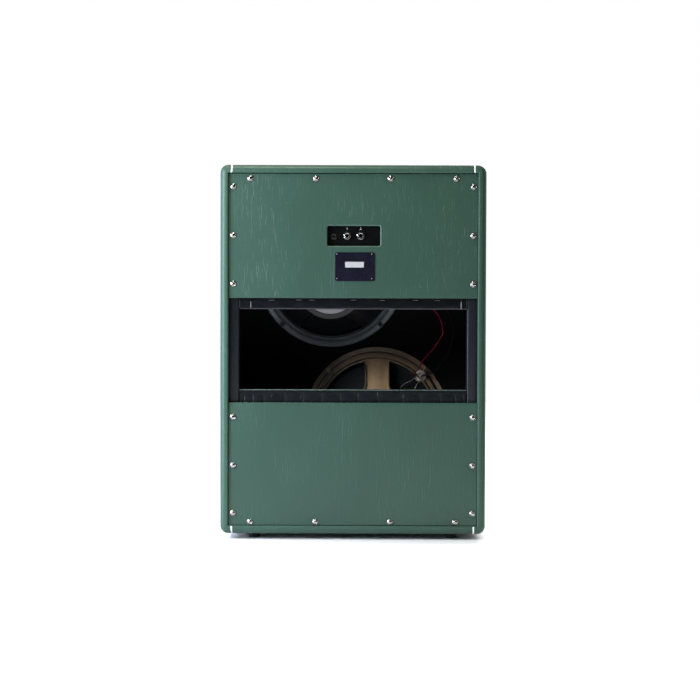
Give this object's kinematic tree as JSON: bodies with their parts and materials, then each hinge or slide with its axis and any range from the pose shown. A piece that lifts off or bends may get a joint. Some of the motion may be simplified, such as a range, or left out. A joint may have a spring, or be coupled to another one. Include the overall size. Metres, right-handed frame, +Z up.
{
  "type": "guitar speaker cabinet",
  "caption": "Tall open-back guitar speaker cabinet: twin 12-inch drivers on a diagonal, screwed back panels with an opening between them, jack plate, leaned-back upper front, rubber feet.",
  "frame": {"origin": "centre of the bounding box at the bottoms of the feet", "axes": "+Z up; the grille faces -Y and the open back faces +Y; +X is the left of someone who looks at the back"},
  "size_m": [0.51, 0.3408, 0.7194],
  "materials": {
    "green_vinyl": "grained vinyl cloth",
    "dark_vinyl": "smooth dark vinyl cloth",
    "white_vinyl": "satin",
    "black_paint": "plywood under thin black paint",
    "plywood": "raw birch plywood",
    "grille_cloth": "woven",
    "rubber": "matte",
    "black_plate": "satin black",
    "black_plastic": "moulded",
    "navy_plate": "satin",
    "nickel": "bright nickel plate",
    "grey_steel": "grey enamel on pressed steel",
    "tan_steel": "tan enamel on pressed steel",
    "magnet": "ferrite ring between steel plates",
    "cone_paper": "dark felted paper",
    "terminal_fibre": "pale fibre board",
    "red_wire": "red PVC insulation",
    "black_wire": "black PVC insulation"
  },
  "bodies": {
    "cabinet": {"bottom_board": "green_vinyl", "bottom_left_piping": "white_vinyl", "bottom_rear_batten": "dark_vinyl", "bottom_right_piping": "white_vinyl", "dc_socket": "black_plastic", "front_left_foot": "rubber", "front_right_foot": "rubber", "grille_cloth": "grille_cloth", "grille_frame": "plywood", "jack_plate": "black_plate", "jack_socket_1": "black_plastic", "jack_socket_2": "black_plastic", "left_rear_batten": "dark_vinyl", "left_side_board": "green_vinyl", "lower_back_panel": "green_vinyl", "lower_baffle_board": "black_paint", "lower_driver_black_wire": "black_wire", "lower_driver_frame": "tan_steel", "lower_driver_magnet": "magnet", "lower_driver_red_wire": "red_wire", "lower_driver_terminal_board": "terminal_fibre", "lower_opening_batten": "dark_vinyl", "lower_panel_left_screw_1": "nickel", "lower_panel_left_screw_2": "nickel", "lower_panel_left_screw_3": "nickel", "lower_panel_right_screw_1": "nickel", "lower_panel_right_screw_2": "nickel", "lower_panel_right_screw_3": "nickel", "lower_panel_row_screw_1": "nickel", "lower_panel_row_screw_2": "nickel", "lower_panel_row_screw_3": "nickel", "lower_panel_row_screw_4": "nickel", "rating_plate": "navy_plate", "rear_left_foot": "rubber", "rear_right_foot": "rubber", "right_rear_batten": "dark_vinyl", "right_side_board": "green_vinyl", "top_board": "green_vinyl", "top_left_piping": "white_vinyl", "top_rear_batten": "dark_vinyl", "top_right_piping": "white_vinyl", "upper_back_panel": "green_vinyl", "upper_baffle_board": "black_paint", "upper_driver_frame": "grey_steel", "upper_driver_magnet": "magnet", "upper_driver_terminal_board": "terminal_fibre", "upper_driver_twin_wire": "black_wire", "upper_opening_batten": "dark_vinyl", "upper_panel_left_screw_1": "nickel", "upper_panel_left_screw_2": "nickel", "upper_panel_left_screw_3": "nickel", "upper_panel_right_screw_1": "nickel", "upper_panel_right_screw_2": "nickel", "upper_panel_right_screw_3": "nickel", "upper_panel_row_screw_1": "nickel", "upper_panel_row_screw_2": "nickel", "upper_panel_row_screw_3": "nickel", "upper_panel_row_screw_4": "nickel"},
    "upper_cone": {"upper_driver_cone": "cone_paper"},
    "lower_cone": {"lower_driver_cone": "cone_paper"}
  },
  "joints": [
    {"name": "upper_cone_travel", "type": "slide", "parent": "cabinet", "child": "upper_cone", "axis": [0, 0.9744, -0.225], "range_m": [-0.003, 0.003], "stiffness_N_per_m": 7800},
    {"name": "lower_cone_travel", "type": "slide", "parent": "cabinet", "child": "lower_cone", "axis": [0, 1, 0], "range_m": [-0.003, 0.003], "stiffness_N_per_m": 7800}
  ]
}
